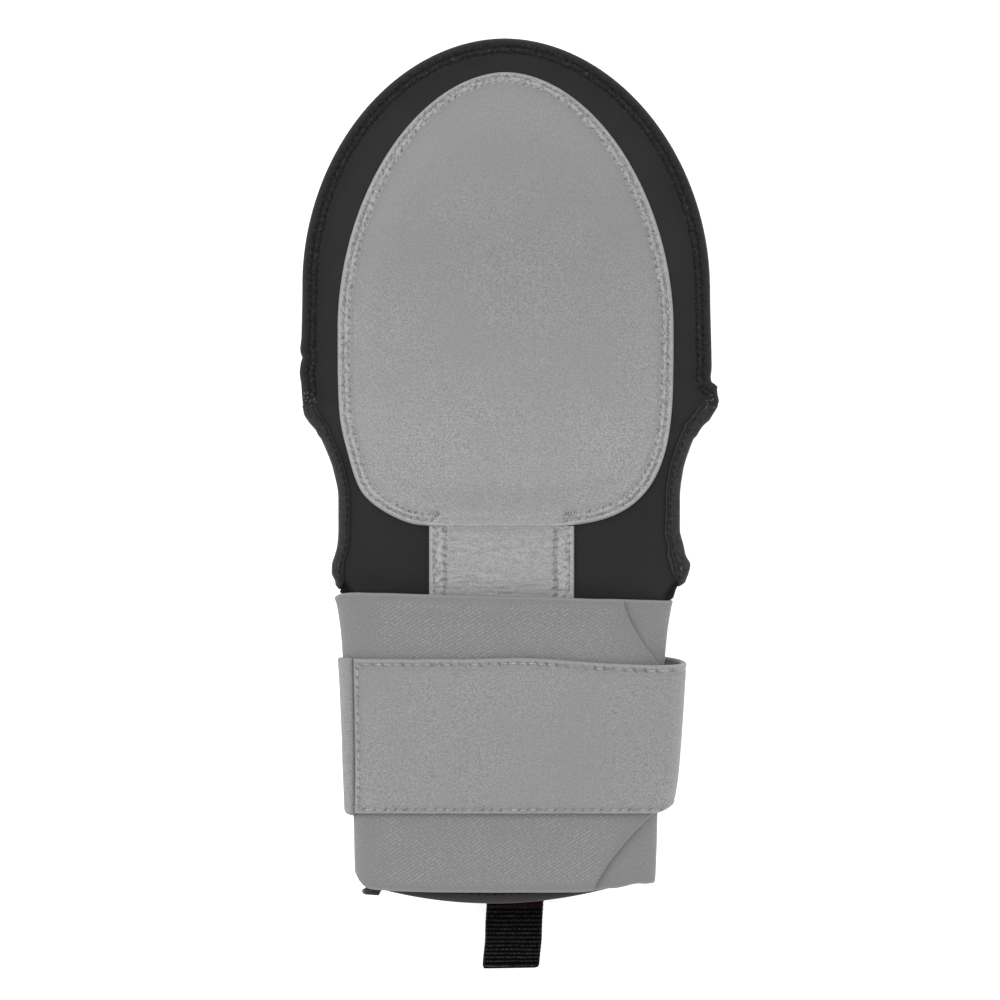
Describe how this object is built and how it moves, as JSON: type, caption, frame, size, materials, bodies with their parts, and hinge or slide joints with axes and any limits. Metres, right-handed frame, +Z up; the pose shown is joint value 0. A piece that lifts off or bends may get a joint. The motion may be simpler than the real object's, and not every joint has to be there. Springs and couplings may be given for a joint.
{
  "type": "sliding mitt",
  "caption": "Padded sliding mitt with an oval leather guard on the back, thumb holes at both sides, an elastic wrist with a closure strap and a webbing pull loop.",
  "frame": {"origin": "on the surface that the mitt lies on, under the middle of its length and width", "axes": "+Y from the wrist to the fingertips, +Z up out of the back of the hand, +X to the right seen from above"},
  "size_m": [0.1463, 0.3257, 0.0317],
  "materials": {
    "shell_cloth": "black stretch cloth over foam",
    "binding_tape": "dark grey folded tape, one stitch row",
    "guard_leather": "fine grained matte grey leather",
    "strap_leather": "soft matte grey leather",
    "elastic": "grey woven elastic with a diagonal twill",
    "webbing": "black ribbed webbing"
  },
  "bodies": {
    "root": {"back_panel": "shell_cloth", "palm_panel": "shell_cloth", "leather_guard": "guard_leather", "leather_strip": "guard_leather", "back_thumb_binding_left": "binding_tape", "back_thumb_binding_right": "binding_tape", "palm_thumb_binding_left": "binding_tape", "palm_thumb_binding_right": "binding_tape", "wrist_sleeve": "shell_cloth", "elastic_cuff": "elastic", "elastic_wrap": "elastic", "closure_strap": "strap_leather", "strap_anchor": "strap_leather", "pull_loop": "webbing"}
  },
  "joints": []
}
